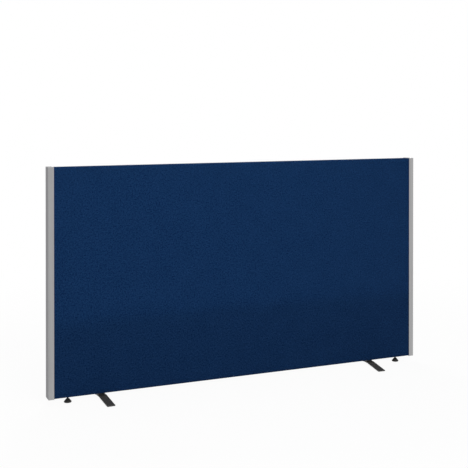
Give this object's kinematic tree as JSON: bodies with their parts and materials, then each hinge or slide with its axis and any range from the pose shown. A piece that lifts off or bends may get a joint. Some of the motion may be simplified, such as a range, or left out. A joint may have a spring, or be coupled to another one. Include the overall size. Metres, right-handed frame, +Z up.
{
  "type": "fabric floor screen",
  "caption": "Free-standing upholstered floor screen with aluminium edge trims, levelling glides and swivelling flat-bar feet.",
  "frame": {"origin": "on the floor under the middle of the panel", "axes": "+X along the panel to its right end as seen from the front, +Z up, the front faces -Y"},
  "size_m": [1.8, 0.2574, 1],
  "materials": {
    "cover_fabric": "woven wool-blend cloth, matte",
    "trim_aluminium": "satin silver lacquer",
    "cap_plastic": "fine matte, light grey",
    "foot_coating": "fine-textured powder coat, dark grey",
    "black_plastic": "satin moulded plastic, black",
    "black_steel": "black zinc",
    "zinc_steel": "bright zinc",
    "frame_wood": "planed pine",
    "dowel_wood": "fluted beech",
    "facing_board": "hardboard",
    "core_slab": "pressed mineral fibre",
    "foam": "open-cell foam"
  },
  "bodies": {
    "panel": {"top_rail": "frame_wood", "bottom_rail": "frame_wood", "left_stile": "frame_wood", "right_stile": "frame_wood", "centre_stile": "frame_wood", "frame_dowels": "dowel_wood", "left_core": "core_slab", "right_core": "core_slab", "front_board": "facing_board", "back_board": "facing_board", "front_foam": "foam", "back_foam": "foam", "fabric_cover": "cover_fabric", "hem_staples": "zinc_steel", "rail_inserts": "zinc_steel", "left_edge_trim": "trim_aluminium", "right_edge_trim": "trim_aluminium", "left_trim_screws": "zinc_steel", "right_trim_screws": "zinc_steel", "left_bottom_cap": "cap_plastic", "left_top_cap": "cap_plastic", "right_bottom_cap": "cap_plastic", "right_top_cap": "cap_plastic", "left_foot_spacer": "black_plastic", "right_foot_spacer": "black_plastic", "left_foot_washer": "black_steel", "right_foot_washer": "black_steel", "left_foot_bolt": "black_steel", "right_foot_bolt": "black_steel"},
    "left_foot": {"left_foot": "foot_coating"},
    "left_glide": {"left_glide_base": "black_plastic"},
    "left_stud": {"left_glide_stud": "black_steel"},
    "right_foot": {"right_foot": "foot_coating"},
    "right_glide": {"right_glide_base": "black_plastic"},
    "right_stud": {"right_glide_stud": "black_steel"}
  },
  "joints": [
    {"name": "left_foot_swivel", "type": "hinge", "parent": "panel", "child": "left_foot", "pos_m": [-0.666, 0, 0.017], "axis": [0, 0, 1], "range_deg": [-93.5, 86.5]},
    {"name": "left_glide_travel", "type": "slide", "parent": "panel", "child": "left_glide", "axis": [0, 0, 1], "range_m": [-0.01, 0.008]},
    {"name": "left_stud_turn", "type": "hinge", "parent": "left_glide", "child": "left_stud", "pos_m": [-0.813, 0, 0.0075], "axis": [0, 0, 1], "range_deg": [-2880, 2304]},
    {"name": "right_foot_swivel", "type": "hinge", "parent": "panel", "child": "right_foot", "pos_m": [0.666, 0, 0.017], "axis": [0, 0, 1], "range_deg": [-86.5, 93.5]},
    {"name": "right_glide_travel", "type": "slide", "parent": "panel", "child": "right_glide", "axis": [0, 0, 1], "range_m": [-0.01, 0.008]},
    {"name": "right_stud_turn", "type": "hinge", "parent": "right_glide", "child": "right_stud", "pos_m": [0.813, 0, 0.0075], "axis": [0, 0, 1], "range_deg": [-2880, 2304]}
  ],
  "couplings": [
    {"joint": "left_glide_travel", "follows": "left_stud_turn", "m_per_rad": 0.00019894},
    {"joint": "right_glide_travel", "follows": "right_stud_turn", "m_per_rad": 0.00019894}
  ]
}
